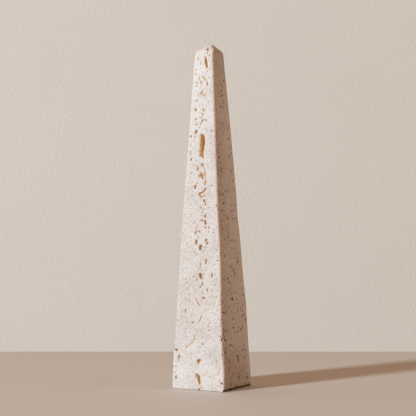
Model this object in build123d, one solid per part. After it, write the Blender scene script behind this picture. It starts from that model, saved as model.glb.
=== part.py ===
"""Tabletop travertine obelisk: one block of stone, cut square, tapered and softened.

The block is the crossing of two side profiles, one seen along Y and one seen along X.
Each profile carries the taper, the slight swell of the shaft, the eased shoulder and the
blunt apex. The arrises are then rolled in one pass from foot to apex, and the open voids
of the stone's bedding seam are sunk into the faces, following their taper.
"""

from build123d import *

import math
import os
from collections import namedtuple

# Overall sizes, mm. Origin: centre of the foot. +Z up, -Y the front face.
height = 400.0  # foot to apex
base_width = 69.0  # along X, at the foot
base_depth = 67.6  # along Y, at the foot
shoulder_height = 391.5  # where the shaft would meet the pyramidion, were they not eased
shoulder_width = 23.6  # along X, at that height
shoulder_depth = 25.6  # along Y, at that height
apex_side = 4.0  # the blunt top, before its edge is rolled

# The block is hand-finished, so it is a little out of true.
swell_x = 1.0  # how far each side face stands proud of a straight taper, halfway up
swell_y = 1.4  # the same, on the front and back faces
shoulder_shift_x = -2.9  # how far the shoulder's middle stands off the foot's middle
shoulder_shift_y = -1.6
apex_shift_x = -1.6  # how far the apex stands off the foot's middle
apex_shift_y = -0.9

# Softened edges
shoulder_ease = 3.2  # how far below the shoulder the shaft starts to bend into the pyramidion
crown_ease = 0.3  # where the bend ends, as a share of the pyramidion's height
arris_radius = 1.3
apex_radius = 1.2
foot_radius = 0.8

# Open voids. Height up the shaft is a share of the shoulder's height, and distance across
# from the face's middle line is a share of its half width there, so both follow the block.
# Then in mm the length along the bed, the width and the depth into the stone, and last the
# lean off the bed in degrees.
Void = namedtuple("Void", "level across length width depth lean")
front_voids = [
    Void(0.962, 0.33, 9.0, 2.4, 2.2, 12.0),  # slot below the shoulder
    Void(0.759, -0.40, 5.2, 2.0, 1.6, 14.0),
    Void(0.729, 0.07, 18.0, 6.4, 4.6, -3.0),  # the great void, widest at its head
    Void(0.692, 0.06, 13.0, 4.4, 3.2, 4.0),  # and its narrower tail
    Void(0.628, 0.04, 8.5, 3.6, 2.0, 12.0),
    Void(0.579, 0.14, 8.0, 2.6, 2.0, -38.0),
    Void(0.491, 0.33, 5.4, 2.4, 1.6, 26.0),
    Void(0.435, -0.15, 6.4, 2.8, 1.8, 10.0),
    Void(0.417, 0.07, 8.0, 3.8, 2.6, -12.0),
    Void(0.379, 0.37, 7.4, 2.2, 2.0, -6.0),
    Void(0.335, 0.11, 8.4, 4.2, 2.8, 10.0),
    Void(0.337, 0.65, 5.4, 2.4, 1.6, 0.0),
    Void(0.208, 0.09, 9.6, 1.9, 1.5, -24.0),
    Void(0.114, -0.88, 3.4, 3.2, 1.8, 20.0),
    Void(0.087, 0.06, 5.2, 4.2, 2.2, 0.0),
    Void(0.034, -0.84, 3.4, 2.4, 1.4, 0.0),
    Void(0.032, 0.04, 13.0, 4.2, 3.0, 18.0),  # just above the foot
]
back_voids = [
    Void(0.899, 0.06, 7.0, 2.4, 1.8, -8.0),
    Void(0.812, -0.08, 12.0, 3.4, 2.6, 5.0),
    Void(0.621, -0.10, 21.0, 5.2, 3.8, -4.0),
    Void(0.526, 0.12, 8.0, 2.8, 1.8, 26.0),
    Void(0.437, -0.14, 7.0, 3.6, 2.0, -10.0),
    Void(0.301, 0.15, 10.0, 2.6, 2.0, 8.0),
    Void(0.245, -0.57, 3.4, 3.0, 1.5, 0.0),
    Void(0.158, -0.05, 14.0, 4.6, 3.2, -6.0),
    Void(0.056, 0.19, 6.0, 3.6, 2.0, 12.0),
]
floor_share = 0.45  # a void's floor, as a share of its mouth
mouth_rise = 0.6  # how far the cut starts outside the swelling face


def shaft_half(level, base, shoulder, swell):
    """Half the width of the shaft at a height: a straight taper with a parabola of swell."""
    share = level / shoulder_height
    return (base + (shoulder - base) * share) / 2 + 4 * swell * share * (1 - share)


def shaft_slope(level, base, shoulder, swell):
    """How fast that half width changes with height."""
    share = level / shoulder_height
    return ((shoulder - base) / 2 + 4 * swell * (1 - 2 * share)) / shoulder_height


def meeting(start, start_way, end, end_way):
    """Where the line from start along start_way crosses the line from end along end_way."""
    cross = start_way.X * end_way.Y - start_way.Y * end_way.X
    gap = end - start
    return start + start_way * ((gap.X * end_way.Y - gap.Y * end_way.X) / cross)


def profile_side(side, base, shoulder, swell, shoulder_shift, apex_shift):
    """One side of the profile, from the foot to the apex: swelling shaft, eased shoulder, slope."""

    def at(level):
        half = shaft_half(level, base, shoulder, swell)
        return Vector(shoulder_shift * level / shoulder_height + side * half, level)

    def way(level):
        lean = shoulder_shift / shoulder_height
        return Vector(lean + side * shaft_slope(level, base, shoulder, swell), 1)

    crown = at(shoulder_height)
    apex = Vector(apex_shift + side * apex_side / 2, height)
    bend_start = at(shoulder_height - shoulder_ease)
    bend_end = crown + (apex - crown) * crown_ease
    belly = meeting(at(0), way(0), bend_start, way(bend_start.Y))
    knee = meeting(bend_start, way(bend_start.Y), crown, apex - crown)
    return [
        Bezier(at(0), belly, bend_start),
        Bezier(bend_start, knee, bend_end),
        Line(bend_end, apex),
    ]


def side_profile(base, shoulder, swell, shoulder_shift, apex_shift):
    """Outline of the block seen along one axis."""
    left, right = (
        profile_side(side, base, shoulder, swell, shoulder_shift, apex_shift)
        for side in (-1, 1)
    )
    foot = Line(left[0] @ 0, right[0] @ 0)
    apex = Line(left[-1] @ 1, right[-1] @ 1)
    return make_face(Wire([*left, apex, *right, foot]))


def arrises(block):
    """The edges that run along X, Y and Z at once."""
    return [e for e in block.edges() if min(tuple(e.bounding_box().size)) > 0.01]


def edges_at(block, level):
    """The edges that lie flat at one height."""
    flat = [e for e in block.edges() if e.bounding_box().size.Z < 0.01]
    return [e for e in flat if abs(e.center().Z - level) < 0.01]


def softened_block():
    """The two profiles carried through each other, then every edge rolled."""
    seen_along_y = side_profile(
        base_width, shoulder_width, swell_x, shoulder_shift_x, apex_shift_x
    )
    seen_along_x = side_profile(
        base_depth, shoulder_depth, swell_y, shoulder_shift_y, apex_shift_y
    )
    reach = max(base_width, base_depth)
    through_y = extrude(Plane.XZ.offset(-reach) * seen_along_y, 2 * reach)
    through_x = extrude(Plane.YZ.offset(-reach) * seen_along_x, 2 * reach)
    block = through_y & through_x
    block = fillet(arrises(block), arris_radius)
    block = fillet(edges_at(block, height), apex_radius)
    return fillet(edges_at(block, 0), foot_radius)


def face_at(level, side):
    """A plane on the front (side -1) or back (side 1) face at a height, on its middle line.

    Its x runs across the face, its y up along the taper and its z out of the stone.
    """
    share = level / shoulder_height
    half = shaft_half(level, base_depth, shoulder_depth, swell_y)
    lean = shoulder_shift_y / shoulder_height
    slope = lean + side * shaft_slope(level, base_depth, shoulder_depth, swell_y)
    middle = Vector(shoulder_shift_x * share, shoulder_shift_y * share + side * half, level)
    across = Vector(-side, 0, 0)
    return Plane(origin=middle, x_dir=across, z_dir=across.cross(Vector(0, slope, 1)))


def void_cut(void, side):
    """An open void: an oval mouth on the face that closes in to a smaller floor."""
    mouth_share = 1 + (1 - floor_share) * mouth_rise / void.depth
    mouth, floor = (
        Pos(0, 0, rise) * Ellipse(share * void.width / 2, share * void.length / 2)
        for rise, share in ((mouth_rise, mouth_share), (-void.depth, floor_share))
    )
    level = void.level * shoulder_height
    across = void.across * shaft_half(level, base_width, shoulder_width, swell_x)
    place = face_at(level, side) * Pos(across, 0, 0) * Rot(0, 0, void.lean)
    return place * loft([mouth.face(), floor.face()])


def obelisk_stone():
    """The whole object: one block, with its seam of voids open on the front and back."""
    cuts = [void_cut(void, -1) for void in front_voids]
    cuts += [void_cut(void, 1) for void in back_voids]
    return softened_block() - cuts


os.makedirs("parts", exist_ok=True)
stone = obelisk_stone()
export_step(stone, "parts/obelisk_stone.step")
slenderness = height / math.sqrt(base_width * base_depth)
print(f"obelisk_stone: {stone.volume / 1e6:.3f} litres, {slenderness:.1f} times as tall as wide")
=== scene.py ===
import math

import bpy
import numpy as np
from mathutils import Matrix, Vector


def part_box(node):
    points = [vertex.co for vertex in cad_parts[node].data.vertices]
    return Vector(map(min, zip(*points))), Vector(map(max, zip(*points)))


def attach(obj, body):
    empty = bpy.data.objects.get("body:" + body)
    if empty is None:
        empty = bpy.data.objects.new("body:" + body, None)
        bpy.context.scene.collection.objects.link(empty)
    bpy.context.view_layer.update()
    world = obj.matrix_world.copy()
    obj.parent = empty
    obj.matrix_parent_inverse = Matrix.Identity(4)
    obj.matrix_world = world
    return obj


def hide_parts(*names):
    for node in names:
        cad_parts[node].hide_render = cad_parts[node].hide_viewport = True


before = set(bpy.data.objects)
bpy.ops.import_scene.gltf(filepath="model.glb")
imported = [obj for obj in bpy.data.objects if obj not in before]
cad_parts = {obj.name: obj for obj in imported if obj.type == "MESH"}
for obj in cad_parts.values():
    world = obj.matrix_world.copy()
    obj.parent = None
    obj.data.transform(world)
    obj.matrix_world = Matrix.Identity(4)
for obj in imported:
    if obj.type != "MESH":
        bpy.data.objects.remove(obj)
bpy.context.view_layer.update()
stoneLow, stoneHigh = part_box("obelisk_stone")
mm = 0.001
blockTop = stoneHigh.z / mm
footWidth, footDepth = (stoneHigh.x - stoneLow.x) / mm, (stoneHigh.y - stoneLow.y) / mm
print("frame loaded, stone is", round(blockTop, 1), "mm tall")


def linear(hexCode):
    # an sRGB hex colour as linear red, green and blue, and a full alpha
    channels = [int(hexCode[i:i + 2], 16) / 255 for i in (1, 3, 5)]
    return [c / 12.92 if c <= 0.04045 else ((c + 0.055) / 1.055) ** 2.4 for c in channels] + [1.0]


def addNode(tree, kind, inputs=None, **settings):
    # adds one node: settings are its own properties, inputs are values or sockets to link from
    node = tree.nodes.new(kind)
    for name, value in settings.items():
        setattr(node, name, value)
    for name, value in (inputs or {}).items():
        socket = node.inputs[name]
        if isinstance(value, bpy.types.NodeSocket):
            tree.links.new(value, socket)
        else:
            socket.default_value = value
    return node


def newMaterial(name):
    material = bpy.data.materials.new(name)
    material.use_nodes = True
    material.node_tree.nodes.clear()
    return material, material.node_tree


# camera, light and stage
studio = {
    "azimuth": 30.0,        # degrees round from the front face
    "distance": 1475.0,     # mm from the block's axis
    "eyeHeight": 208.0,     # mm above the table
    "slide": 5.35,          # mm the camera sits to its left
    "tilt": 0.0008,         # radians the camera looks up
    "lens": 109.1,
    "sensor": 36,
    "keyLamp": {"azimuth": -22.9, "elevation": 19.5, "distance": 8000, "size": 960, "power": 623.0,
                "colour": "#eafbff"},
    "fillLamp": {"azimuth": 100.0, "elevation": 12.0, "distance": 1800, "size": 1200, "power": 5.5,
                 "colour": "#fff7d4"},
    "roomColour": "#8a685a",  # the light that comes from all round
    "backColour": "#d1c6bc",  # what the camera sees of the room
    "wallDistance": 364.0,    # mm behind the block's axis
    "wallHalfWidth": 3500.0,
    "wallHeight": 2600.0,
    "wallColours": ("#e8ddd4", "#eee2db"),
    "wallGives": "#ceb395",   # the wall's colour in the light it gives back to the stone
    "tableHalfSide": 4000.0,
    "tableColours": ("#ddd1ca", "#e1d6cf"),
    "tableGives": "#7c6559",
}


def unitVector(azimuth, elevation):
    # degrees round from the front and up from level, as a direction from the block
    a, e = math.radians(azimuth), math.radians(elevation)
    return np.array([math.sin(a) * math.cos(e), -math.cos(a) * math.cos(e), math.sin(e)])


def makeCamera():
    camera = bpy.data.objects.new("camera", bpy.data.cameras.new("camera"))
    bpy.context.scene.collection.objects.link(camera)
    camera.data.lens = studio["lens"]
    camera.data.sensor_width = studio["sensor"]
    back = unitVector(studio["azimuth"], 0)
    left = np.array([back[1], -back[0], 0])
    place = back * studio["distance"] + left * studio["slide"] + [0, 0, studio["eyeHeight"]]
    camera.location = place * mm
    camera.rotation_euler = (math.pi / 2 + studio["tilt"], 0, math.radians(studio["azimuth"]))
    bpy.context.scene.camera = camera


def makeLamp(name, lamp):
    # a round soft box that faces the foot of the block
    light = bpy.data.objects.new(name, bpy.data.lights.new(name, "AREA"))
    bpy.context.scene.collection.objects.link(light)
    light.data.shape = "DISK"
    light.data.size = lamp["size"] * mm
    light.data.energy = lamp["power"]
    light.data.color = linear(lamp["colour"])[:3]
    light.location = unitVector(lamp["azimuth"], lamp["elevation"]) * lamp["distance"] * mm
    light.rotation_euler = (math.radians(90 - lamp["elevation"]), 0, math.radians(lamp["azimuth"]))


def makeRoom():
    # dim warm light from all round; the camera sees a plain pale colour instead
    world = bpy.data.worlds.new("room")
    world.use_nodes = True
    bpy.context.scene.world = world
    tree = world.node_tree
    tree.nodes.clear()
    path = addNode(tree, "ShaderNodeLightPath")
    fill = addNode(tree, "ShaderNodeBackground", {"Color": linear(studio["roomColour"])})
    seen = addNode(tree, "ShaderNodeBackground", {"Color": linear(studio["backColour"])})
    both = addNode(tree, "ShaderNodeMixShader", {0: path.outputs["Is Camera Ray"], 1: fill.outputs[0],
                                                 2: seen.outputs[0]})
    addNode(tree, "ShaderNodeOutputWorld", {"Surface": both.outputs[0]})


def cloudedPaint(tree, place, scale, detail, colours, given):
    # the camera sees two near colours in soft clouds; the stone gets the light of the given, warmer one
    cloud = addNode(tree, "ShaderNodeTexNoise", {"Vector": place, "Scale": scale, "Detail": detail})
    tint = addNode(tree, "ShaderNodeValToRGB", {"Fac": cloud.outputs["Fac"]})
    for stop, colour in zip(tint.color_ramp.elements, colours):
        stop.color = linear(colour)
    path = addNode(tree, "ShaderNodeLightPath")
    shown = addNode(tree, "ShaderNodeMix", {"Factor": path.outputs["Is Camera Ray"], 6: linear(given),
                                            7: tint.outputs[0]}, data_type="RGBA")
    return shown.outputs[2]


def plasterWall():
    # painted plaster: matt, faint roller texture, seen only from the room side
    material, tree = newMaterial("paintedPlaster")
    place = addNode(tree, "ShaderNodeTexCoord").outputs["Object"]
    shown = cloudedPaint(tree, place, 9.0, 3.0, studio["wallColours"], studio["wallGives"])
    grain = addNode(tree, "ShaderNodeTexNoise", {"Vector": place, "Scale": 400.0, "Detail": 3.0})
    bump = addNode(tree, "ShaderNodeBump", {"Height": grain.outputs["Fac"], "Strength": 0.5,
                                            "Distance": 0.001})
    paint = addNode(tree, "ShaderNodeBsdfPrincipled", {"Base Color": shown, "Roughness": 0.9,
                                                       "Normal": bump.outputs[0]})
    side = addNode(tree, "ShaderNodeNewGeometry")
    clear = addNode(tree, "ShaderNodeBsdfTransparent")
    both = addNode(tree, "ShaderNodeMixShader", {0: side.outputs["Backfacing"], 1: paint.outputs[0],
                                                 2: clear.outputs[0]})
    addNode(tree, "ShaderNodeOutputMaterial", {"Surface": both.outputs[0]})
    return material


def tablePaint():
    # matt lacquered board: even and smooth
    material, tree = newMaterial("mattLacquer")
    place = addNode(tree, "ShaderNodeTexCoord").outputs["Object"]
    shown = cloudedPaint(tree, place, 6.0, 2.0, studio["tableColours"], studio["tableGives"])
    paint = addNode(tree, "ShaderNodeBsdfPrincipled", {"Base Color": shown, "Roughness": 0.75})
    addNode(tree, "ShaderNodeOutputMaterial", {"Surface": paint.outputs[0]})
    return material


def stageSheet(name, corners, material):
    mesh = bpy.data.meshes.new(name)
    mesh.from_pydata([tuple(c * mm for c in corner) for corner in corners], [], [(0, 1, 2, 3)])
    mesh.materials.append(material)
    sheet = bpy.data.objects.new(name, mesh)
    bpy.context.scene.collection.objects.link(sheet)


def makeStage():
    # the wall stands square to the camera's direction, and the table reaches past it
    back = unitVector(studio["azimuth"], 0)
    right = np.array([-back[1], back[0], 0])
    foot, tall = -back * studio["wallDistance"], [0, 0, studio["wallHeight"]]
    wide = right * studio["wallHalfWidth"]
    stageSheet("wall", [foot - wide, foot + wide, foot + wide + tall, foot - wide + tall], plasterWall())
    near, aside = back * studio["tableHalfSide"], right * studio["tableHalfSide"]
    stageSheet("table", [near - aside, near + aside, -near + aside, -near - aside], tablePaint())


makeCamera()
makeLamp("key", studio["keyLamp"])
makeLamp("fill", studio["fillLamp"])
makeRoom()
makeStage()
print("camera, light and stage made")


# the travertine block, mm
block = {
    "shoulderHeight": 391.5,
    "shoulderWidth": 23.6,
    "shoulderDepth": 25.6,
    "apexSide": 4.0,
    "swellX": 1.0,          # fullness of the left and right faces
    "swellY": 1.4,          # fullness of the front and back faces
    "leanX": -2.9,          # how far the shoulder's middle stands off the foot's
    "leanY": -1.6,
    "apexLeanX": -1.6,
    "apexLeanY": -0.9,
    "shoulderRadius": 5.5,
    "arrisRadii": (2.5, 2.2, 1.6, 0.9),  # front right, back right, back left, front left
    "apexRadius": 1.2,
    "footRadius": 0.6,
    "footRings": (0.02, 0.3, 0.6, 0.84),  # rings of points under the foot, as shares of its size
    "lastRing": 0.25,       # half the size of the ring that the apex closes on
    # points along each stretch of the profile, and once round the section
    "rows": {"toe": 5, "shaft": 850, "shoulder": 12, "slope": 28, "crown": 7, "lid": 4},
    "sideColumns": 120,
    "cornerColumns": 8,
    "triangles": 188000,    # kept when the flat stretches are thinned
    # what chance, wear and the hand finish add; a noise is a list of weight, cell size and seed
    "fray": [(0.6, 2.1, 11), (0.4, 1.0, 12)],                    # of the hollows' outlines
    "crumble": [(0.6, (2.4, 2.4, 3.0), 81), (0.4, (1.1, 1.1, 1.3), 82)],  # where stone has crumbled away
    "waves": [(0.30, (26, 26, 34), 61), (0.10, (7, 7, 9), 62)],  # weights are depths
    "drift": {"amount": 1.7, "cell": 2.2, "seed": 13},           # pulls the chance pits out of round
    "patches": {"cell": (15, 15, 21), "seed": 21},               # where more pores stay open
    "seamReach": 5.0,       # from the ochre seam to where it has mostly faded
    "seamPits": {"cell": (3.0, 3.0, 4.2), "seed": 31, "smallest": 0.5, "largest": 1.3,
                 "stretch": (0.9, 0.9, 1.4)},
    "openPits": {"cell": (2.8, 2.8, 3.2), "seed": 41, "smallest": 0.45, "largest": 1.1,
                 "stretch": (0.95, 0.95, 1.2)},
    "pitDepth": 0.55,       # as a share of the pit's own depth
    "crumbDepth": 0.7,
    "wornReach": 1.5,       # from an arris to where its nicks and knocks have mostly faded
    "nickDepth": 1.2,
    "tintRate": 1.1,        # how fast a hollow's lining deepens in colour, per mm
}
# lumps of the hand finish: which arris (side along X, side along Y), level, how far it stands out to its
# side, spread up and down
lumps = [
    (1, -1, 155, 1.3, 30), (1, -1, 116, 0.6, 14), (1, -1, 24, 1.3, 20), (1, -1, 393, 0.9, 4),
    (1, 1, 200, -0.8, 20), (1, 1, 95, 1.0, 22), (-1, -1, 190, 0.6, 22), (-1, -1, 26, 1.3, 22),
    (-1, -1, 190, 0.4, 260), (-1, -1, 380, 0.5, 30), (-1, -1, 389, -0.8, 4),
]
# level, across, length, width, depth, lean: mm and degrees on the face, across from its middle line; a last
# value from 0 to 1 says how much of the hollow still stands in crumbs
frontVoids = [
    (393.3, 3.0, 7.8, 1.5, 1.3, 46), (383.6, 2.0, 3.0, 2.6, 1.2, 0), (379.6, 2.2, 5.4, 3.4, 1.4, 12),
    (376.2, 3.1, 11.6, 2.9, 2.0, 17), (361.2, -0.9, 4.6, 4.6, 0.7, 0, 0.3),
    (358.4, 0.6, 4.4, 5.8, 0.7, 0, 0.3), (360.0, -5.4, 4.7, 1.7, 0.6, 0), (354.9, -8.8, 1.8, 2.8, 1.1, 0),
    (354.8, -3.3, 4.2, 2.6, 0.9, 24, 0.3), (353.0, 5.0, 5.6, 2.0, 1.0, 8),
    (342.0, -2.8, 5.2, 2.4, 1.1, -18, 0.15), (339.6, 1.3, 1.9, 2.6, 1.0, 20),
    (338.0, -2.2, 1.9, 3.6, 0.5, 0, 0.8), (340.5, -6.4, 4.1, 1.4, 0.5, 0), (333.9, -8.0, 1.9, 2.2, 0.9, 0),
    (323.2, -9.7, 5.2, 1.7, 1.5, 26), (322.8, 0.9, 4.4, 1.9, 0.9, 0), (317.4, 0.1, 3.0, 2.7, 0.8, 0),
    (319.0, -2.6, 1.7, 2.8, 0.6, 0), (314.3, -1.7, 2.7, 1.5, 0.6, 0), (311.7, -9.5, 2.1, 2.4, 1.1, 0),
    (310.5, -0.2, 2.0, 2.2, 1.2, 0), (310.6, 3.9, 2.2, 3.4, 0.7, -20), (297.7, -8.5, 5.4, 2.8, 1.6, -24),
    (298.2, 12.4, 2.2, 2.5, 0.9, 0), (292.3, -15.2, 2.1, 3.0, 1.2, 0), (288.0, -0.6, 13.8, 7.4, 2.4, 9),
    (283.8, -0.9, 11.0, 8.6, 2.6, 0), (277.8, -0.8, 9.4, 6.8, 2.3, -4), (273.2, -1.3, 6.0, 6.4, 1.7, -6),
    (270.0, -2.2, 5.6, 3.6, 1.3, 0, 0.45), (269.2, 1.1, 6.2, 2.8, 1.6, 16), (265.4, -14.3, 2.6, 2.2, 1.4, 0),
    (263.1, -7.0, 2.3, 1.5, 0.6, 0), (254.7, -5.0, 4.6, 2.4, 1.0, -14), (258.8, 0.9, 3.0, 2.8, 1.3, 0),
    (256.6, -0.5, 1.5, 1.8, 0.8, 0), (250.2, -1.9, 2.2, 4.2, 0.8, -10, 0.3),
    (245.8, -3.0, 5.0, 3.3, 0.9, 0, 0.25), (246.0, 0.3, 6.6, 3.2, 1.7, 20), (247.6, 4.0, 2.3, 2.0, 1.0, 0),
    (238.2, 5.2, 6.0, 1.9, 1.1, -8), (233.5, -8.1, 5.2, 2.0, 1.5, -16), (231.5, 5.6, 2.8, 2.5, 1.5, 0),
    (222.8, 3.5, 2.5, 3.8, 0.8, 0), (217.3, 4.4, 3.0, 2.4, 2.0, 0), (213.7, 6.2, 4.8, 2.0, 1.1, 22),
    (211.5, 20.6, 2.5, 1.6, 1.2, 0), (203.7, 2.0, 1.5, 2.2, 0.9, 0), (199.5, 6.1, 3.3, 2.5, 1.5, 0),
    (194.5, 2.0, 2.0, 2.8, 2.2, 0), (193.2, 6.3, 4.0, 2.4, 2.1, 10), (191.0, 6.6, 2.3, 3.8, 1.5, 0),
    (186.5, 6.1, 3.2, 4.6, 0.8, 0, 0.4), (186.7, 11.4, 4.4, 2.2, 0.6, 0), (182.2, -2.4, 2.2, 3.2, 1.2, -14),
    (180.7, -6.3, 5.0, 2.4, 1.2, -6), (169.7, -5.2, 6.2, 2.6, 1.9, -6), (171.8, 7.6, 4.6, 2.4, 1.3, -24),
    (168.6, 9.5, 2.4, 2.7, 1.3, 0), (163.7, 0.0, 6.8, 3.4, 2.3, -8), (157.8, -7.2, 1.9, 2.2, 0.9, 0),
    (154.8, -4.5, 1.8, 1.5, 0.9, 0), (148.0, 8.3, 6.9, 1.9, 1.4, -8), (143.9, 1.2, 4.6, 1.8, 0.75, 0, 0.2),
    (144.0, 19.3, 1.6, 2.2, 0.9, 0), (138.5, -0.9, 3.3, 1.7, 0.6, 20), (130.8, 1.0, 6.5, 3.8, 2.8, 12, 0.3),
    (132.1, 16.6, 4.9, 2.0, 1.4, -6), (132.7, 5.0, 2.3, 1.5, 0.8, 0), (121.7, 3.8, 4.8, 1.6, 1.2, 0),
    (118.4, 0.9, 2.0, 1.7, 1.2, 0), (114.9, 10.5, 4.9, 1.8, 1.4, 10), (112.4, 4.3, 3.1, 1.7, 0.8, 0),
    (105.7, 4.3, 2.9, 1.8, 1.1, 0), (105.4, 6.7, 2.7, 2.3, 1.8, 0), (107.6, 21.6, 2.1, 4.4, 0.8, 0, 0.3),
    (102.0, -12.7, 3.3, 1.4, 0.6, 0), (89.9, -18.3, 4.6, 1.8, 1.0, 0), (76.7, -8.2, 2.1, 2.8, 1.1, 0),
    (78.7, -27.9, 3.5, 2.4, 0.6, -20, 0.4), (77.7, 14.0, 3.1, 1.5, 0.6, 0), (62.2, -5.6, 2.7, 1.4, 1.0, 0),
    (58.2, -5.9, 3.1, 2.2, 0.8, 0), (52.9, 5.7, 3.0, 2.5, 1.0, -10), (44.8, -30.0, 3.2, 4.0, 1.6, -30),
    (36.9, -26.0, 1.7, 2.2, 2.2, 0), (35.0, -26.8, 3.1, 2.8, 0.8, 0, 0.3), (32.1, -26.9, 2.3, 1.3, 0.6, 0),
    (34.2, 0.7, 5.6, 3.0, 1.9, -52), (32.2, -0.2, 2.6, 2.6, 1.2, 0), (30.0, 0.1, 3.2, 1.6, 1.0, 0),
    (15.8, -0.7, 5.8, 5.2, 1.5, 6), (11.8, 0.6, 9.6, 3.4, 1.9, 12), (1.2, 1.3, 3.3, 2.6, 1.2, 0),
    (13.1, -29.9, 5.2, 2.8, 1.2, -14), (9.8, 30.8, 2.5, 2.4, 2.5, 0), (283.0, -2.5, 15.0, 4.8, 0.9, 0),
    (275.4, -2.6, 4.4, 2.6, 1.0, 0), (16.6, -2.7, 4.4, 2.2, 1.0, 0), (59.0, 30.4, 3.0, 2.6, 1.0, 0),
    (3.2, 3.2, 5.0, 3.2, 0.5, 20),
]
# level, across, size and depth of small round pores
frontPores = [
    (388.8, 4.4, 2.3, 0.91), (386.0, 7.3, 2.1, 0.98), (383.2, -8.2, 2.3, 0.6), (376.0, -4.1, 2.0, 0.45),
    (379.5, -4.7, 1.3, 0.45), (370.0, -10.6, 2.0, 0.6), (367.0, 5.0, 1.9, 0.6), (365.3, -10.6, 2.2, 0.75),
    (364.8, -6.9, 1.3, 0.6), (360.0, 6.6, 1.4, 0.45), (351.0, -9.4, 1.6, 0.6), (346.0, -0.4, 1.4, 0.6),
    (335.8, 3.1, 1.5, 0.45), (340.5, -11.9, 1.7, 0.45), (334.3, -11.4, 1.5, 0.45), (331.5, 7.1, 1.9, 0.45),
    (327.8, -0.7, 1.4, 0.9), (327.5, -4.6, 1.2, 0.6), (325.7, 4.6, 1.3, 0.6), (312.9, -6.6, 1.4, 0.75),
    (306.0, -8.2, 1.6, 1.04), (306.3, -13.4, 1.4, 0.45), (302.3, -4.0, 1.7, 0.6), (291.7, -9.4, 2.3, 0.6),
    (286.9, -10.9, 2.1, 0.75), (283.2, 11.0, 1.4, 0.9), (282.9, -14.6, 1.7, 0.6), (277.9, -9.6, 1.7, 0.45),
    (273.6, -14.7, 1.9, 0.75), (271.1, -15.2, 1.5, 0.75), (258.1, -6.9, 1.4, 0.6), (250.2, -12.9, 1.9, 0.45),
    (238.2, 1.4, 1.5, 0.6), (237.5, -6.0, 1.6, 0.9), (234.7, 11.0, 1.3, 0.75), (234.7, 14.3, 1.8, 0.9),
    (223.8, -11.4, 1.4, 0.6), (226.7, 12.1, 1.9, 0.45), (209.2, 0.4, 2.1, 0.75), (207.5, 3.5, 1.7, 0.9),
    (209.5, 11.1, 1.8, 0.75), (201.7, -13.2, 1.9, 0.45), (200.2, 2.6, 1.6, 0.75), (197.2, -16.4, 1.5, 0.45),
    (193.3, -7.4, 1.6, 0.75), (191.5, -9.2, 1.3, 0.75), (190.0, -4.2, 1.9, 0.6), (186.2, -5.4, 2.0, 0.75),
    (181.2, 17.4, 1.5, 1.04), (182.0, 10.9, 1.2, 0.75), (175.5, -2.6, 2.1, 0.75), (175.0, -15.7, 1.4, 0.6),
    (175.0, -11.7, 1.3, 0.6), (167.7, -17.6, 1.7, 0.6), (164.8, 23.0, 1.6, 0.6), (161.0, 22.6, 1.9, 0.75),
    (159.7, 3.1, 2.3, 0.6), (156.7, 3.4, 1.9, 0.45), (149.7, 5.1, 1.3, 0.75), (149.2, 23.1, 1.5, 0.95),
    (140.7, 7.5, 1.2, 0.9), (139.0, -15.7, 1.5, 0.6), (132.8, 20.8, 1.3, 0.9), (128.2, 3.6, 1.7, 0.9),
    (129.8, -6.4, 1.5, 0.75), (126.2, -4.0, 1.6, 0.75), (126.7, -18.7, 1.5, 0.75), (122.5, -17.5, 1.6, 0.9),
    (120.5, 21.0, 1.2, 1.04), (114.2, 16.6, 2.0, 0.6), (116.0, -15.9, 1.5, 0.75), (103.2, -17.2, 1.4, 0.75),
    (97.7, -7.4, 1.4, 0.75), (92.0, 24.4, 1.6, 0.75), (89.0, -22.2, 1.3, 0.75), (70.5, -5.6, 1.3, 0.75),
    (69.4, -17.4, 1.7, 0.75), (68.9, 14.0, 1.6, 1.0), (66.0, -17.7, 1.7, 0.6), (60.1, -16.9, 1.9, 0.6),
    (56.6, -16.4, 1.6, 0.6), (49.9, -17.2, 1.4, 0.75), (40.6, -10.0, 2.0, 0.6), (29.3, -18.9, 1.3, 0.75),
    (25.6, -30.4, 2.3, 0.6), (35.6, 24.6, 1.7, 0.6), (31.1, 19.6, 1.7, 0.6), (18.9, 12.4, 1.5, 0.75),
    (16.6, 17.8, 1.4, 0.6), (62.9, 28.7, 1.5, 1.79), (5.0, -0.4, 1.5, 0.6), (4.7, 3.6, 1.6, 0.6),
    (73.4, 13.4, 1.5, 0.6), (71.0, 9.3, 1.2, 0.55), (61.0, 5.5, 1.3, 0.5), (57.0, 20.5, 1.4, 0.5),
    (42.5, 1.5, 1.4, 0.5), (40.0, 16.0, 1.6, 0.5), (36.0, -9.0, 1.4, 0.6), (15.0, 15.3, 1.3, 0.55),
    (15.0, 21.0, 1.3, 0.6), (15.8, -19.3, 1.3, 0.5), (20.8, -27.8, 1.2, 0.5), (12.0, 28.5, 1.6, 0.6),
    (6.2, 30.0, 1.5, 0.6), (7.2, -27.0, 1.7, 0.5), (8.3, -7.5, 1.3, 0.5), (3.0, 17.0, 1.3, 0.6),
]
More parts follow.
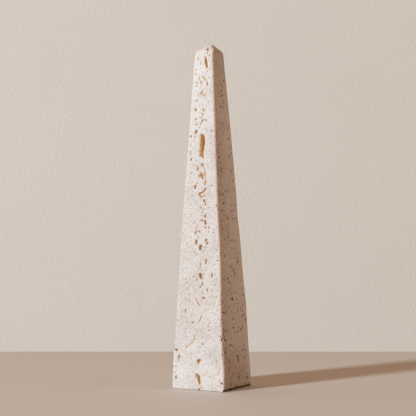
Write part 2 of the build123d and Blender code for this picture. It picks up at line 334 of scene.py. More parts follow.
rightVoids = [
    (358.0, 8.2, 2.0, 3.2, 0.8, 0), (327.0, -3.7, 2.4, 2.2, 1.1, 0), (273.0, 14.7, 1.6, 3.6, 0.9, 0),
    (267.5, -13.8, 1.6, 3.4, 1.3, 0), (214.6, -10.8, 2.4, 2.6, 1.8, 0), (206.3, -15.1, 1.6, 3.6, 1.7, 0),
    (146.3, 14.7, 3.4, 2.4, 1.4, 0), (128.0, -12.8, 2.4, 4.2, 1.3, 0), (123.2, -9.8, 1.5, 4.2, 1.2, 0),
    (104.0, -4.2, 5.0, 3.6, 1.1, 10), (84.0, 21.2, 2.4, 3.2, 0.9, 0), (78.5, 24.7, 4.6, 2.2, 1.2, 24),
    (70.8, -3.8, 2.0, 3.6, 1.1, 0), (44.5, -26.3, 3.0, 3.0, 1.4, 0), (43.5, 20.2, 3.2, 2.6, 0.9, 0),
    (37.8, 1.7, 2.4, 5.0, 1.4, 0), (34.0, 2.7, 7.0, 2.4, 1.5, 4), (24.8, -21.1, 4.0, 2.0, 1.0, 0),
    (13.0, 1.7, 2.2, 3.0, 2.0, 0), (10.5, 23.5, 2.2, 2.8, 1.9, 0),
]
rightPores = [
    (352.0, 1.9, 1.8, 0.9), (346.0, 1.5, 1.9, 0.7), (343.0, -1.8, 1.6, 0.5), (332.3, -14.5, 1.8, 0.9),
    (331.5, 4.2, 1.8, 0.9), (326.5, 3.7, 1.7, 0.9), (321.8, -13.9, 1.3, 1.3), (315.0, -16.3, 1.7, 0.8),
    (308.3, -4.8, 1.8, 0.5), (302.3, 12.2, 1.8, 0.8), (296.0, -0.8, 1.8, 0.8), (289.5, 9.7, 1.9, 0.9),
    (279.0, 14.5, 2.1, 0.9), (261.0, -11.8, 2.0, 0.8), (367.5, -11.3, 1.8, 0.4), (362.5, -6.3, 1.8, 0.4),
    (254.7, -10.3, 1.8, 0.7), (253.3, -17.3, 1.8, 0.7), (252.0, 13.2, 1.7, 0.6), (247.8, -18.5, 1.7, 0.7),
    (246.0, -14.3, 1.8, 0.7), (241.5, 14.7, 2.0, 0.8), (236.3, -15.8, 1.8, 1.0), (234.0, 1.0, 1.7, 0.6),
    (228.5, -4.3, 1.9, 0.9), (228.3, 0.2, 1.6, 0.8), (228.0, -21.3, 1.8, 0.9), (224.9, -14.5, 1.8, 1.2),
    (225.0, -9.3, 2.2, 0.9), (220.7, -5.6, 1.9, 0.9), (212.0, 9.7, 1.7, 0.8), (205.2, 8.2, 2.0, 0.9),
    (197.4, -1.3, 1.9, 0.9), (197.0, 10.2, 1.8, 0.8), (196.7, 18.0, 1.9, 1.1), (194.3, -18.3, 2.0, 0.9),
    (189.0, -4.3, 1.7, 0.8), (186.8, -2.6, 1.6, 0.7), (184.2, -16.8, 1.9, 0.8), (184.3, -5.3, 1.8, 1.1),
    (181.0, -3.8, 1.8, 0.9), (178.5, -3.3, 1.7, 0.8), (176.0, -3.8, 1.9, 1.0), (174.0, -6.3, 1.8, 0.9),
    (173.0, -13.6, 2.0, 1.1), (171.5, 0.7, 1.8, 1.0), (168.5, -9.3, 2.1, 0.5), (161.8, 6.5, 1.8, 0.8),
    (163.5, 1.7, 1.7, 0.6), (157.0, 18.7, 1.7, 0.8), (155.5, -15.8, 1.7, 0.8), (153.7, -18.3, 1.8, 0.8),
    (151.2, 12.7, 1.8, 1.1), (144.5, 12.0, 1.7, 0.8), (142.5, 19.2, 1.8, 0.5), (143.2, 2.2, 1.6, 0.5),
    (127.7, -21.3, 1.9, 1.0), (130.2, -4.3, 1.6, 0.8), (130.8, 4.7, 1.7, 0.8), (124.3, 19.2, 1.7, 0.7),
    (120.5, -5.8, 1.8, 0.8), (119.3, 11.2, 1.8, 0.6), (115.0, -9.8, 1.9, 0.7), (115.0, 20.2, 1.9, 1.0),
    (115.5, 13.2, 1.8, 0.6), (110.7, -4.3, 1.8, 0.8), (107.3, 22.0, 1.9, 1.2), (96.3, 20.2, 1.9, 1.0),
    (97.8, 8.7, 1.7, 0.7), (95.0, -10.8, 1.8, 0.6), (91.0, -18.8, 1.9, 0.7), (89.8, -6.8, 1.8, 0.8),
    (89.5, 7.7, 1.9, 0.7), (81.0, -3.3, 2.1, 1.0), (82.3, 16.7, 1.9, 0.8), (77.8, -26.8, 1.8, 1.1),
    (78.0, -17.3, 1.8, 0.7), (70.4, 8.2, 1.9, 1.2), (66.0, 5.7, 2.0, 0.9), (68.3, -23.3, 1.8, 1.3),
    (67.5, -13.8, 1.8, 0.8), (65.3, -28.3, 1.8, 1.7), (48.5, 17.7, 1.9, 0.9), (47.3, 7.9, 1.9, 1.0),
    (43.3, 14.7, 2.0, 1.1), (45.5, -16.3, 1.7, 0.5), (37.0, -25.3, 1.8, 0.8), (34.2, 18.7, 1.8, 0.9),
    (30.7, -19.8, 1.9, 1.0), (7.0, -17.8, 2.0, 0.8), (3.5, -6.8, 2.0, 0.9),
]
backVoids = [
    (352.0, 0.8, 7, 2.4, 1.8, -8), (318.0, -1.4, 12, 3.4, 2.6, 5), (297.0, 4.6, 4, 2.0, 1.2, 20),
    (270.0, -4.0, 5, 2.2, 1.4, -14), (243.0, -2.2, 21, 5.2, 3.8, -4), (228.0, 0.4, 7, 3.0, 1.8, 12),
    (206.0, 2.8, 8, 2.8, 1.8, 26), (188.0, -8.0, 4.4, 2.0, 1.2, 0), (171.0, -3.6, 7, 3.6, 2.0, -10),
    (150.0, 6.0, 5, 2.0, 1.4, 16), (118.0, 4.2, 10, 2.6, 2.0, 8), (96.0, -17.0, 3.4, 3.0, 1.5, 0),
    (84.0, 1.6, 5, 2.4, 1.4, -20), (62.0, -1.6, 14, 4.6, 3.2, -6), (40.0, 12.0, 4, 2.2, 1.2, 10),
    (22.0, 6.4, 6, 3.6, 2.0, 12), (6.0, 2.0, 7, 3.0, 1.8, -10),
]
leftVoids = [
    (340.0, 4.0, 4, 1.6, 1.0, 10), (296.0, -6.0, 5, 1.8, 1.2, -16), (251.0, 3.0, 6, 2.4, 1.4, 22),
    (207.0, -9.0, 4, 2.0, 1.2, 0), (160.0, 6.0, 8, 2.0, 1.4, 30), (118.0, -12.0, 5, 2.4, 1.4, -12),
    (77.0, 9.0, 6, 3.0, 1.8, 8), (41.0, -4.0, 7, 2.0, 1.4, 34), (19.0, 20.0, 4, 2.8, 1.6, 0),
]
# start, bend and end (level, across) of each healed crack, then its width and depth
frontCracks = [
    ((311.5, 4.9), (311.4, 0.5), (309.7, -0.3), 1.1, 0.8),
    ((309.7, -0.2), (308.4, -1.5), (305.6, -2.9), 1.2, 0.8),
    ((258.6, 1.8), (251.7, 6.2), (238.7, 5.7), 1.6, 0.65),
    ((231.2, 5.6), (227.5, 4.2), (225.7, -2.2), 2.2, 1.1),
    ((225.7, -2.2), (222.7, -1.6), (221.2, 1.4), 1.8, 1.1),
    ((230.7, -15.2), (229.2, -12.9), (227.5, -10.6), 1.0, 0.4),
    ((149.8, -12.2), (149.2, -14.9), (146.7, -15.6), 1.0, 0.4),
    ((104.2, -4.2), (101.2, -3.3), (97.2, 1.0), 2.0, 0.75),
    ((86.7, 3.8), (83.2, 3.5), (77.2, -0.7), 1.4, 0.8),
    ((57.1, -5.8), (54.6, -7.4), (47.6, -17.0), 3.3, 0.38),
    ((22.8, 28.2), (21.1, 27.1), (19.2, 25.2), 0.9, 0.45),
]
rightCracks = [
    ((338.8, -2.9), (340.0, 0.2), (340.6, 4.3), 1.2, 1.0),
    ((172.6, 4.5), (171.0, 7.7), (169.8, 11.9), 0.9, 0.6),
    ((142.9, -6.3), (141.5, -1.3), (132.6, 6.7), 1.2, 1.2),
    ((90.2, -27.3), (89.6, -23.3), (88.6, -20.3), 1.2, 1.1),
    ((70.2, 17.2), (68.0, 14.2), (66.2, 11.2), 1.5, 0.9),
    ((59.4, -26.9), (58.8, -24.8), (57.6, -22.5), 1.4, 1.5),
    ((50.0, -17.3), (54.4, -12.8), (48.5, -5.9), 1.0, 1.0),
]
# level, spread and depth of the knocks on the front right arris
knocks = [
    (291.0, 1.5, 0.28), (270.0, 1.5, 0.33), (228.0, 1.5, 0.44), (212.0, 1.6, 0.44), (105.5, 1.6, 0.66),
    (98.3, 1.5, 0.61), (90.0, 1.4, 0.5), (80.8, 1.8, 0.66), (77.8, 1.4, 0.66), (59.3, 2.2, 0.77),
    (46.0, 2.0, 0.55), (37.0, 1.8, 0.66), (31.0, 1.4, 0.5),
]
# smooth steps of tone, some of them painted light and shade, plus for lighter and minus for darker: amount,
# level of its start, level of its end
# the front's first step is painted light, lighter towards the top; the flanks' first two steps are painted
# shade, darker towards the foot
faceSteps = [(0.58, 230, 385), (-0.1, 220, 120), (0.25, 70, 10), (-0.45, 374, 391)]
faceSideSteps = [(0.5, 230, 340), (0.3, 90, 20)]  # lighter by this at the left, darker at the right
flankSteps = [(-1.0, 60, 10), (-0.6, 18, 2), (-0.45, 345, 375), (-0.7, 386, 392)]


def latticeValue(ix, iy, iz, seed):
    # one repeatable number from 0 to 1 for each whole-number lattice place: large odd factors scatter its
    # bits, of which 32 are kept
    kept = np.uint64(0xffffffff)
    h = (ix.astype(np.uint64) * np.uint64(374761393) + iy.astype(np.uint64) * np.uint64(668265263)
         + iz.astype(np.uint64) * np.uint64(2147483647) + np.uint64(seed * 1013904223)) & kept
    h = ((h ^ (h >> np.uint64(13))) * np.uint64(1274126177)) & kept
    h = ((h ^ (h >> np.uint64(15))) * np.uint64(2246822519)) & kept
    return ((h ^ (h >> np.uint64(16))) & np.uint64(0xffffff)).astype(float) / 0xffffff


def softNoise(points, cell, seed):
    # lattice values from 0 to 1, blended inside each cell by t squared times (3 - 2t) along each axis
    grid = points / np.asarray(cell, float)
    base = np.floor(grid)
    part = grid - base
    part = part * part * (3 - 2 * part)
    base = base.astype(np.int64)
    total = 0
    for dx in (0, 1):
        for dy in (0, 1):
            for dz in (0, 1):
                weight = (np.abs(1 - dx - part[..., 0]) * np.abs(1 - dy - part[..., 1])
                          * np.abs(1 - dz - part[..., 2]))
                place = [base[..., i] + d for i, d in enumerate((dx, dy, dz))]
                total = total + weight * latticeValue(*place, seed)
    return total


def mixedNoise(points, parts):
    # soft noises of several cell sizes, each times its weight, added up
    return sum(weight * softNoise(points, cell, seed) for weight, cell, seed in parts)


def smooth(low, high, value):
    # 0 at low and 1 at high, either of which may be the larger, with t squared times (3 - 2t) between them
    t = np.clip((value - low) / (high - low), 0, 1)
    return t * t * (3 - 2 * t)


def smoothSteps(level, steps):
    return sum(amount * smooth(start, end, level) for amount, start, end in steps)


def bell(distance, reach):
    # 1 at no distance, falling to about a third at the reach and fast to nothing past it
    return np.exp(-(distance / reach) ** 2)


def roundedCorner(before, corner, after, radius, count):
    # points along the arc that rounds a corner of a profile, from the tangent on one leg to the other
    before, corner, after = (np.array(p, float) for p in (before, corner, after))
    u, v = before - corner, after - corner
    u, v = u / np.linalg.norm(u), v / np.linalg.norm(v)
    half = math.acos(float(u @ v)) / 2
    centre = corner + (u + v) / np.linalg.norm(u + v) * radius / math.sin(half)
    start, end = corner + u * radius / math.tan(half), corner + v * radius / math.tan(half)
    swing = np.linspace(0, 1, count)[:, None]
    a, b = start - centre, end - centre
    turn = math.acos(float(np.clip(a @ b / radius ** 2, -1, 1)))
    return centre + (a * np.sin((1 - swing) * turn) + b * np.sin(swing * turn)) / math.sin(turn)


def profileRows():
    # the profile from the foot's middle to the apex's: share of the section, level and inset of each row
    width, apex, foot = block["shoulderWidth"] / 2, block["apexSide"] / 2, block["footRadius"]
    count, bend, top = block["rows"], (width, block["shoulderHeight"]), (apex, blockTop)
    shoulder = roundedCorner((width, 0), bend, top, block["shoulderRadius"], count["shoulder"])
    crown = roundedCorner(bend, top, (0, blockTop), block["apexRadius"], count["crown"])
    slope = np.linspace(shoulder[-1], crown[0], count["slope"])[1:-1]
    lid = np.linspace(crown[-1], (block["lastRing"], blockTop), count["lid"])[1:]
    cap = np.concatenate([shoulder, slope, crown, lid])
    cap = np.stack([cap[:, 0] / width, cap[:, 1], np.zeros(len(cap))], 1)
    rings = np.array(block["footRings"])
    base = np.stack([rings, np.zeros(len(rings)), np.full(len(rings), foot)], 1)
    swing = np.linspace(0, np.pi / 2, count["toe"])
    toe = np.stack([np.ones(len(swing)), foot * (1 - np.cos(swing)), foot * (1 - np.sin(swing))], 1)
    levels = np.linspace(foot, shoulder[0][1], count["shaft"])[1:-1]
    shaft = np.stack([np.ones(len(levels)), levels, np.zeros(len(levels))], 1)
    return np.concatenate([base, toe, shaft, cap])


def sectionColumns():
    # once round a rounded square: share of the half sizes to the corner centres, outward direction, which
    # face (0 front, 1 right, 2 back, 3 left) and the arris's radius, evenly from one arris to the next
    n, c = block["sideColumns"], block["cornerColumns"]
    run = np.linspace(-1, 1, n)
    arc = (np.arange(1, c + 1) / (c + 1)) * np.pi / 2
    shares, turns, side, radii = [], [], [], []
    for k in range(4):
        last, own = block["arrisRadii"][k - 1], block["arrisRadii"][k]
        angle = -np.pi / 2 + k * np.pi / 2
        out = np.array([math.cos(angle), math.sin(angle)])
        along = np.array([-out[1], out[0]])
        shares += [out[None] + along[None] * run[:, None], np.repeat((out + along)[None], c, 0)]
        turns += [np.repeat(angle, n), angle + arc]
        side += [np.repeat(k, n), np.repeat(k, c)]
        radii += [last + (own - last) * (run + 1) / 2, np.repeat(own, c)]
    turn = np.concatenate(turns)
    out = np.stack([np.cos(turn), np.sin(turn)], 1)
    return np.concatenate(shares), out, np.concatenate(side), np.concatenate(radii)


def middleAt(level):
    # the section's middle leans in a straight line to the shoulder, and in another from there to the apex
    t = np.clip(level / block["shoulderHeight"], 0, 1)
    up = np.clip((level - block["shoulderHeight"]) / (blockTop - block["shoulderHeight"]), 0, 1)
    return (block["leanX"] * t + (block["apexLeanX"] - block["leanX"]) * up,
            block["leanY"] * t + (block["apexLeanY"] - block["leanY"]) * up)


def halfAt(level):
    # half the width and half the depth of the section: a straight taper and a parabola of fullness
    t = np.clip(level / block["shoulderHeight"], 0, 1)
    return ((footWidth + (block["shoulderWidth"] - footWidth) * t) / 2 + 4 * block["swellX"] * t * (1 - t),
            (footDepth + (block["shoulderDepth"] - footDepth) * t) / 2 + 4 * block["swellY"] * t * (1 - t))


def sectionShares(points):
    # how far out a point stands: -1 to 1 from the left face to the right, and from the front to the back
    halfX, halfY = halfAt(points[..., 2])
    midX, midY = middleAt(points[..., 2])
    return (points[..., 0] - midX) / halfX, (points[..., 1] - midY) / halfY


def plainBlock():
    # rows of the profile by columns of the section: middle, plus share of half size, plus the arris's arc
    rows = profileRows()
    shares, turns, side, radii = sectionColumns()
    share, level, inset = rows[:, :1], rows[:, 1:2], rows[:, 2:]
    halfX, halfY = halfAt(level)
    midX, midY = middleAt(level)
    halfX, halfY = (halfX - inset) * share, (halfY - inset) * share
    radius = np.minimum(radii[None], 0.6 * np.minimum(halfX, halfY))
    x = midX + shares[None, :, 0] * (halfX - radius) + turns[None, :, 0] * radius
    y = midY + shares[None, :, 1] * (halfY - radius) + turns[None, :, 1] * radius
    # how far each point is from its arris, whose arc's middle lies 0.29 of its radius inside both faces
    edge = np.maximum(halfX - np.abs(x - midX), halfY - np.abs(y - midY)) - 0.29 * radius
    fade = np.minimum(1, halfX / 8)  # lumps die out on the narrow top
    for sideX, sideY, height, amount, spread in lumps:
        nearness = (1 + sideX * shares[None, :, 0]) * (1 + sideY * shares[None, :, 1]) / 4
        x = x + sideX * amount * nearness * fade * bell(level - height, spread)
    x = np.clip(x, stoneLow.x / mm, stoneHigh.x / mm)
    points = np.stack([x, y, np.broadcast_to(level, x.shape)], 2)
    across = np.roll(points, -1, 1) - np.roll(points, 1, 1)
    normal = np.cross(across, np.gradient(points, axis=0))
    normal /= np.maximum(np.linalg.norm(normal, axis=2, keepdims=True), 1e-9)
    return points, normal, side, edge, rows


def scatteredPits(points, chance, cell, seed, smallest, largest, stretch):
    # ellipsoids at jittered lattice places, few of them large: a pit is as deep as its ellipsoid is thick
    # over the point
    grid = points / np.asarray(cell, float)
    base = np.floor(grid - 0.5).astype(np.int64)
    deepest = np.zeros(points.shape[:-1])
    for dx in (0, 1):
        for dy in (0, 1):
            for dz in (0, 1):
                place = [base[..., i] + d for i, d in enumerate((dx, dy, dz))]
                jitter = np.stack([latticeValue(*place, seed + i) for i in range(3)], -1)
                centre = (np.stack(place, -1) + 0.15 + 0.7 * jitter) * np.asarray(cell, float)
                size = smallest + (largest - smallest) * latticeValue(*place, seed + 3) ** 3
                kept = latticeValue(*place, seed + 4) < chance(centre)
                reach = (((points - centre) / (size[..., None] * np.asarray(stretch, float))) ** 2).sum(-1)
                deepest = np.maximum(deepest, kept * size * np.sqrt(np.maximum(0, 1 - reach)))
    return deepest


def seamShare(points):
    # 1 in the ochre seam, a wavy upright plane through the middle of the block, with a bell's fall beside it
    wander = 9 * (softNoise(points * [0, 0.4, 1], 60, 71) - 0.5)
    wander = wander + 5 * (softNoise(points * [0, 0.6, 1], 17, 72) - 0.5)
    return bell(np.abs(points[..., 0] - 1.5 - middleAt(points[..., 2])[0] - wander), block["seamReach"])


def seamChance(place):
    # pits crowd in the seam, and less so towards the top
    return (0.55 - 0.3 * smooth(290, 360, place[..., 2])) * seamShare(place)


def openChance(place):
    # a few pits everywhere, more in patches and low down, and more again on the left and right faces, which
    # cut across the bedding
    shareX, shareY = sectionShares(place)
    sideways = smooth(0.92, 1.06, np.abs(shareX) + 1 - np.abs(shareY))
    patchy = smooth(0.4, 0.75, softNoise(place, **block["patches"]))
    return 0.08 + 0.30 * patchy + 0.12 * smooth(260, 20, place[..., 2]) + sideways * (0.22 + 0.15 * patchy)


def chanceHollows(points, side, crumble, seam, patch):
    # pits at chance places, and crumbs gone where the crumbling noise runs high, at a lower limit in the
    # seam; the front's larger hollows are all listed, so chance adds only faint ones there
    sided = np.where(side % 2 == 1, 1.0, 0.0)
    fronted = np.where(side == 0, 1.0, 0.0)
    drift = block["drift"]
    pull = np.stack([softNoise(points, drift["cell"], drift["seed"] + i) for i in range(3)], -1) - 0.5
    frayed = points + drift["amount"] * pull
    seamPits = scatteredPits(frayed, seamChance, **block["seamPits"])
    seamPits = seamPits * (block["pitDepth"] - 0.4 * fronted)
    openPits = scatteredPits(frayed, openChance, **block["openPits"])
    openPits = openPits * (block["pitDepth"] + 0.35 * sided - 0.27 * fronted)
    limit = 0.83 - 0.15 * seam * smooth(0.3, 0.6, softNoise(points, (12, 12, 16), 83)) - 0.05 * patch
    crumbs = (block["crumbDepth"] - 0.5 * fronted) * smooth(limit, limit + 0.12, crumble)
    return np.maximum(crumbs, np.maximum(seamPits, openPits))


def acrossFace(points, which):
    # distance from a face's middle line, to the right as one looks at that face
    midX, midY = middleAt(points[..., 2])
    return {0: points[..., 0] - midX, 1: points[..., 1] - midY,
            2: midX - points[..., 0], 3: midY - points[..., 1]}[which]


def voidDepth(up, over, warp, crumble, length, width, deep, lean, broken=None):
    # an ellipse, its outline frayed by noise; the floor of a wide one falls gently from the left to a steep
    # rim at the right, and noise leaves crumbs standing in a broken one
    c, s = math.cos(math.radians(lean)), math.sin(math.radians(lean))
    along, aside = up * c - over * s, over * c + up * s
    far = np.hypot(along / length * 2, aside / width * 2)
    far = far * (1 + min(1.3, 3.6 / width) * (warp - 0.5))
    fill = np.clip((1.12 - far) / 0.42, 0, 1)
    if broken is not None:
        fill = fill * (1 - smooth(0.62 - 0.25 * broken, 0.72 - 0.2 * broken, crumble))
    gentle = smooth(1.5, 6, width)
    fall = np.clip(0.75 - 0.3 * gentle + (0.5 + 0.6 * gentle) * aside / width, 0.06, 1)
    return deep * fall * fill * (2 - fill) * (0.75 + 0.5 * warp)


def crackLine(start, bend, end):
    # points along a curve from the start to the end, drawn towards the bend: a parabola
    t = np.linspace(0, 1, 24)[:, None]
    return np.array(start) * (1 - t) ** 2 + np.array(bend) * 2 * t * (1 - t) + np.array(end) * t ** 2


def listedHollows(points, side, which, voids, pores, cracks, warp, crumble):
    # depth of one face's listed hollows: voids, pores as small round voids, and cracks as frayed bands
    depth = np.zeros(points.shape[:2])
    columns = np.nonzero(side == which)[0]
    level, run = points[:, columns, 2], acrossFace(points[:, columns], which)
    warp, crumble, part = warp[:, columns], crumble[:, columns], depth[:, columns]
    small = [(height, across, 1.1 * size, size, deep, 0) for height, across, size, deep in pores]
    for height, across, *form in voids + small:
        rows = np.nonzero(np.abs(level[:, 0] - height) < 0.7 * max(form[:2]) + 1)[0]
        cut = voidDepth(level[rows] - height, run[rows] - across, warp[rows], crumble[rows], *form)
        part[rows] = np.maximum(part[rows], cut)
    for *bends, width, deep in cracks:
        line = crackLine(*bends)
        lowest, highest = line[:, 0].min() - 2, line[:, 0].max() + 2
        rows = np.nonzero((level[:, 0] > lowest) & (level[:, 0] < highest))[0]
        near = np.full(level[rows].shape, 9.0)
        for upright, sideways in line:
            near = np.minimum(near, np.hypot(level[rows] - upright, run[rows] - sideways))
        fill = np.clip(1.2 - near / width * 2 * (0.6 + 0.8 * warp[rows]), 0, 1)
        part[rows] = np.maximum(part[rows], deep * fill)
    depth[:, columns] = part
    return depth


def arrisChips(points, edge, fray, toRight, toBack):
    # small nicks along every arris, more of them low down, and the listed knocks on the front right one
    level = points[..., 2]
    worn = bell(edge, block["wornReach"])
    nick = smooth(0.66, 0.9, softNoise(points, (2.6, 2.6, 3.2), 51)) * (0.2 + smooth(150, 10, level))
    chips = block["nickDepth"] * nick * worn
    for height, spread, deep in knocks:
        near = bell(level - height, spread)
        chips = np.maximum(chips, deep * near * worn * (0.5 + fray) * (toRight > 0) * (toBack < 0))
    return chips


def brokenToe(points, toRight):
    # the foot's lower edge is broken back, most of all under the right face
    level = points[..., 2]
    ragged = softNoise(points, (5, 5, 9), 52)
    return (0.3 * bell(level, 2.2) * smooth(0.45, 0.85, ragged)
            + smooth(0.93, 1.0, toRight) * bell(level, 1.9) * (1.8 + 1.6 * ragged))


def paintedLightAndTone(level, side, edge, toRight, toBack):
    # the front and back follow their steps of tone, the front painted lighter towards the top as the lamp's
    # light falls on it; the flanks are painted lighter towards the back, less near the top and most at the
    # arris, and darker at the foot as painted shade and near the top; a painted highlight runs along the two
    # left arrises, on the lamp's side
    face = smoothSteps(level, faceSteps) - toRight * smoothSteps(level, faceSideSteps)
    flank = 0.4 + 0.7 * toBack * (1 - 0.9 * smooth(310, 370, level)) + 0.8 * smooth(0.7, 1.0, toBack)
    flank = flank + 0.12 * bell(level - 100, 45) + smoothSteps(level, flankSteps)
    return np.where(side % 2 == 0, face, flank) + 0.4 * bell(edge, 1.2) * (toRight < 0)


def paintedTerminatorBand(level, edge, toRight):
    # a painted warm band on the two right arrises, where the light turns to shade across them; it widens
    # near the top and fades at it
    return (bell(edge, 1.6 + 0.6 * smooth(362, 392, level)) * smooth(0, 0.3, toRight)
            * (1 - 0.55 * smooth(384, 393, level)))


def carvedBlock():
    # the plain block with its hollows, chips, broken toe and waves pushed in along its normals, and the
    # material's four layers: depth of hollow, iron stain, tone with painted light and shade, and a painted
    # warm band where light turns to shade on the right arrises
    points, normal, side, edge, rows = plainBlock()
    level = points[..., 2]
    fray, crumble = mixedNoise(points, block["fray"]), mixedNoise(points, block["crumble"])
    seam, patch = seamShare(points), softNoise(points, **block["patches"])
    print("noise worked out on", points.shape[0], "rows and", points.shape[1], "columns")

    hollow = chanceHollows(points, side, crumble, seam, patch)
    lists = [(frontVoids, frontPores, frontCracks), (rightVoids, rightPores, rightCracks),
             (backVoids, [], []), (leftVoids, [], [])]
    for which, listed in enumerate(lists):
        hollow = np.maximum(hollow, listedHollows(points, side, which, *listed, fray, crumble))
    print("hollows cut")

    toRight, toBack = sectionShares(points)
    chips = arrisChips(points, edge, fray, toRight, toBack)
    toe = brokenToe(points, toRight)
    underfoot = (rows[:, 0] < 1) & (rows[:, 1] < 1)
    inward = hollow + chips + toe + mixedNoise(points, block["waves"])
    inward[underfoot] = 0
    carved = points - normal * inward[..., None]
    carved[..., 2] = np.clip(carved[..., 2], 0.002, blockTop)
    # tint follows the depth: pale where a hollow starts, deeper by the tint rate; the chips' share colours
    # the nicks, and the broken toe's share darkens the foot's lower edge with painted shade where it meets
    # the table
    depth = 1 - np.exp(-block["tintRate"] * (hollow + 0.6 * smooth(0.3, 1.2, chips) + 0.5 * toe))
    depth[underfoot] = 0
    stain = (1 - smooth(0.9, 1.0, np.abs(toRight))) * (0.7 + 0.3 * seam + 0.2 * patch)
    return carved, {"hollow": depth, "stain": np.clip(stain, 0, 1),
                    "pale": paintedLightAndTone(level, side, edge, toRight, toBack),
                    "terminatorTint": paintedTerminatorBand(level, edge, toRight)}


def closedMesh(name, grid, layers):
    # rows by columns of points joined into quads, each end closed by a fan to its middle
    rows, columns = grid.shape[:2]
    ends = np.stack([grid[0].mean(0), grid[-1].mean(0)])
    points = np.concatenate([grid.reshape(-1, 3), ends])
    index = np.arange(rows * columns).reshape(rows, columns)
    beside = np.roll(index, -1, 1)
    quads = np.stack([index[:-1], beside[:-1], beside[1:], index[1:]], -1).reshape(-1, 4)
    low = np.stack([np.full(columns, rows * columns), beside[0], index[0]], -1)
    high = np.stack([np.full(columns, rows * columns + 1), index[-1], beside[-1]], -1)
    corners = np.concatenate([quads.ravel(), low.ravel(), high.ravel()])
    counts = np.concatenate([np.full(len(quads), 4), np.full(2 * columns, 3)])
    mesh = bpy.data.meshes.new(name)
    mesh.vertices.add(len(points))
    mesh.vertices.foreach_set("co", (points * mm).astype(np.float32).ravel())
    mesh.loops.add(len(corners))
    mesh.loops.foreach_set("vertex_index", corners.astype(np.int32))
    mesh.polygons.add(len(counts))
    mesh.polygons.foreach_set("loop_start", (np.cumsum(counts) - counts).astype(np.int32))
    mesh.polygons.foreach_set("use_smooth", np.ones(len(counts), bool))
    mesh.update(calc_edges=True)
    mesh.validate()
    for label, values in layers.items():
        layer = mesh.attributes.new(label, "FLOAT", "POINT")
        layer.data.foreach_set("value", np.concatenate([values.ravel(), [0, 0]]).astype(np.float32))
    return mesh


def readArray(items, name, width=1, kind=float):
    # one property of every vertex, corner or face, as rows of that width
    values = np.empty(len(items) * width, kind)
    items.foreach_get(name, values)
    return values.reshape(-1, width) if width > 1 else values


def fourSideMap(mesh):
    # unwraps the faces into a square from 0 to 1, an upright strip for each and the foot below the first: a
    # corner's place in its strip is its share across the face and its level
    stripHalf, stripStart, stripHeight = 0.46, 0.1, 0.89
    footMiddle, footHalf, footReach = 0.05, 0.04, 35  # the reach is in mm
    points = readArray(mesh.vertices, "co", 3) / mm
    corner = readArray(mesh.loops, "vertex_index", kind=np.int32)
    total = readArray(mesh.polygons, "loop_total", kind=np.int32)
    normal = readArray(mesh.polygons, "normal", 3)
    centre = readArray(mesh.polygons, "center", 3) / mm
    shareX, shareY = sectionShares(centre)
    frontOrBack, leftOrRight = np.where(shareY < 0, 0, 2), np.where(shareX > 0, 1, 3)
    side = np.where(np.abs(shareY) >= np.abs(shareX), frontOrBack, leftOrRight)
    side = np.where((normal[:, 2] < -0.7) & (centre[:, 2] < 0.4), 4, side)  # 4 is underfoot
    side = np.repeat(side, total)
    p = points[corner]
    shareX, shareY = sectionShares(p)
    run = np.select([side == 0, side == 1, side == 2, side == 3], [shareX, shareY, -shareX, -shareY], 0)
    u = (side + 0.5 + run * stripHalf) / 4
    v = stripStart + stripHeight * p[:, 2] / blockTop
    below = side == 4
    u = np.where(below, footMiddle + footHalf * p[:, 0] / footReach, u)
    v = np.where(below, footMiddle + footHalf * p[:, 1] / footReach, v)
    layer = mesh.uv_layers.new(name="OFBake")
    layer.data.foreach_set("uv", np.stack([u, v], 1).astype(np.float32).ravel())


def thinOut(piece, triangles):
    # collapses the flat stretches' edges, then keeps the result as the piece's own mesh
    piece.data.calc_loop_triangles()
    thin = piece.modifiers.new("thin", "DECIMATE")
    thin.ratio = min(1.0, triangles / len(piece.data.loop_triangles))
    done = bpy.data.meshes.new_from_object(piece.evaluated_get(bpy.context.evaluated_depsgraph_get()))
    piece.modifiers.clear()
    piece.data = done


stone = {
    "chalk": "#f5eae6",
    "body": "#dfd1cb",
    "sand": "#c8b0a2",
    "tan": "#d9b18a",          # shallow pores
    "ochre": "#d0995a",        # iron-stained hollows by the seam
    "umber": "#8e4e0a",        # their floors
    "terminatorTint": "#dcae92",       # painted warm band where light turns to shade on the right arrises
    "clay": "#775418",         # darker lining of the hollows on the left and right faces, and a little of those away from the seam
    "cloudSize": 26,           # mm
    "mottleSize": 2.8,         # mm
    "grainSize": 1.2,          # mm, coarser than the real quarter millimetre so that it shows
    "grainWeight": 1.8,        # beside 1 for the clouds and 1 for the mottle
    "toneRange": (1.37, 2.42),  # of the three added up, from sand to chalk
    # weight of the tone layer, which carries painted light and shade besides the stone's own tone
    "lightAndToneWeight": 0.4,
    "poreSpacing": 1.7,        # mm
    "poreShare": (0.5, 1.0),   # chance values that make a pore, from the smallest to the largest
    "poreSize": 0.36,          # of the largest, as a share of the spacing
    "poreRim": 0.12,
    "poreTint": 0.5,
    "liningRange": (0.06, 0.55),  # depths between which the lining takes over from the body
    # share of the painted warm band where light turns to shade
    "terminatorTintWeight": 0.7,
    "relief": 0.0005,          # metres
    "reliefStrength": 0.8,
    "roughness": (0.60, 0.78),
}


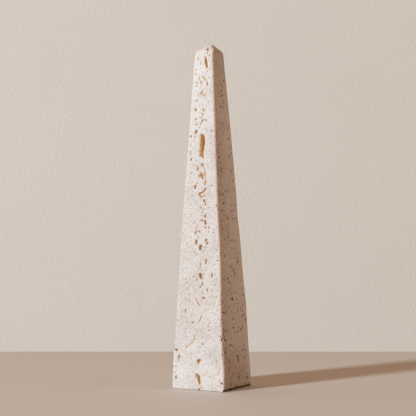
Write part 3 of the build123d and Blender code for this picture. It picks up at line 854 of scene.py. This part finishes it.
def honedTravertine():
    # honed travertine: unfilled vein-cut limestone, ground matt, which gives the eye a cream body with a
    # sandy grain, ochre in its open pores and hardly any shine
    material, tree = newMaterial("honedTravertine")
    place = addNode(tree, "ShaderNodeTexCoord").outputs["Object"]
    cloud = addNode(tree, "ShaderNodeTexNoise", {"Vector": place, "Scale": 1000 / stone["cloudSize"],
                                                 "Detail": 3.0})
    mottle = addNode(tree, "ShaderNodeTexNoise", {"Vector": place, "Scale": 1000 / stone["mottleSize"],
                                                  "Detail": 3.0, "Roughness": 0.6, "Distortion": 0.5})
    grain = addNode(tree, "ShaderNodeTexNoise", {"Vector": place, "Scale": 1000 / stone["grainSize"],
                                                 "Detail": 2.0, "Roughness": 0.7})
    soft = addNode(tree, "ShaderNodeMath", {0: cloud.outputs["Fac"], 1: mottle.outputs["Fac"]},
                   operation="ADD")
    sharp = addNode(tree, "ShaderNodeMath", {0: grain.outputs["Fac"], 1: stone["grainWeight"],
                                             2: soft.outputs[0]}, operation="MULTIPLY_ADD")
    low, high = stone["toneRange"]
    level = addNode(tree, "ShaderNodeMapRange", {"Value": sharp.outputs[0], "From Min": low,
                                                 "From Max": high})
    # the tone layer adds painted light and shade, and a painted highlight along the left arrises, to the
    # stone's own tone
    pale = addNode(tree, "ShaderNodeAttribute", attribute_name="pale").outputs["Fac"]
    tone = addNode(tree, "ShaderNodeMath", {0: pale, 1: stone["lightAndToneWeight"], 2: level.outputs[0]},
                   operation="MULTIPLY_ADD")
    body = addNode(tree, "ShaderNodeValToRGB", {"Fac": tone.outputs[0]})
    body.color_ramp.elements[0].color = linear(stone["sand"])
    body.color_ramp.elements[1].color = linear(stone["chalk"])
    body.color_ramp.elements.new(0.4).color = linear(stone["body"])

    # fine pores too small to cut: a dot of chance size in some of the cells
    pores = addNode(tree, "ShaderNodeTexVoronoi", {"Vector": place, "Scale": 1000 / stone["poreSpacing"],
                                                   "Randomness": 1.0})
    chance = addNode(tree, "ShaderNodeSeparateColor", {"Color": pores.outputs["Color"]})
    low, high = stone["poreShare"]
    size = addNode(tree, "ShaderNodeMapRange", {"Value": chance.outputs[0], "From Min": low,
                                                "From Max": high, "To Max": stone["poreSize"]})
    gap = addNode(tree, "ShaderNodeMath", {0: size.outputs[0], 1: pores.outputs["Distance"]},
                  operation="SUBTRACT")
    pore = addNode(tree, "ShaderNodeMapRange", {"Value": gap.outputs[0], "From Min": 0.0,
                                                "From Max": stone["poreRim"]})
    poreTint = addNode(tree, "ShaderNodeMath", {0: pore.outputs[0], 1: stone["poreTint"]},
                       operation="MULTIPLY")

    # the lining of pores and hollows: tan to umber by depth where iron has stained it, clay elsewhere
    hollow = addNode(tree, "ShaderNodeAttribute", attribute_name="hollow").outputs["Fac"]
    stain = addNode(tree, "ShaderNodeAttribute", attribute_name="stain").outputs["Fac"]
    depth = addNode(tree, "ShaderNodeMath", {0: hollow, 1: poreTint.outputs[0]}, operation="MAXIMUM")
    stained = addNode(tree, "ShaderNodeValToRGB", {"Fac": depth.outputs[0]})
    stained.color_ramp.elements[0].color = linear(stone["tan"])
    stained.color_ramp.elements[1].color = linear(stone["umber"])
    stained.color_ramp.elements.new(0.5).color = linear(stone["ochre"])
    lining = addNode(tree, "ShaderNodeMix", {"Factor": stain, 6: linear(stone["clay"]),
                                             7: stained.outputs[0]}, data_type="RGBA")
    low, high = stone["liningRange"]
    mask = addNode(tree, "ShaderNodeMapRange", {"Value": depth.outputs[0], "From Min": low,
                                                "From Max": high})

    # the body's skin takes the painted warm band where light turns to shade on the right arrises; grain and
    # fine pores give it its tooth
    terminatorTint = addNode(tree, "ShaderNodeAttribute", attribute_name="terminatorTint").outputs["Fac"]
    terminatorShare = addNode(tree, "ShaderNodeMath", {0: terminatorTint, 1: stone["terminatorTintWeight"]}, operation="MULTIPLY")
    skin = addNode(tree, "ShaderNodeMix", {"Factor": terminatorShare.outputs[0], 6: body.outputs[0],
                                           7: linear(stone["terminatorTint"])}, data_type="RGBA")
    colour = addNode(tree, "ShaderNodeMix", {"Factor": mask.outputs[0], 6: skin.outputs[2],
                                             7: lining.outputs[2]}, data_type="RGBA")
    relief = addNode(tree, "ShaderNodeMath", {0: grain.outputs["Fac"], 1: pore.outputs[0]},
                     operation="SUBTRACT")
    bump = addNode(tree, "ShaderNodeBump", {"Height": relief.outputs[0], "Distance": stone["relief"],
                                            "Strength": stone["reliefStrength"]})
    low, high = stone["roughness"]
    rough = addNode(tree, "ShaderNodeMapRange", {"Value": cloud.outputs["Fac"], "To Min": low,
                                                 "To Max": high})
    shader = addNode(tree, "ShaderNodeBsdfPrincipled", {"Base Color": colour.outputs[2],
                                                        "Roughness": rough.outputs[0],
                                                        "Normal": bump.outputs[0], "IOR": 1.5,
                                                        "Specular IOR Level": 0.35})
    addNode(tree, "ShaderNodeOutputMaterial", {"Surface": shader.outputs[0]})
    return material


grid, layers = carvedBlock()
piece = bpy.data.objects.new("travertineBlock", closedMesh("travertineBlock", grid, layers))
bpy.context.scene.collection.objects.link(piece)
print("block shaped,", len(piece.data.polygons), "faces")
thinOut(piece, block["triangles"])
fourSideMap(piece.data)
piece.data.materials.append(honedTravertine())
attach(piece, "root")
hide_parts("obelisk_stone")
print("block thinned to", len(piece.data.polygons), "faces and finished")

bpy.context.scene.view_settings.view_transform = "Standard"
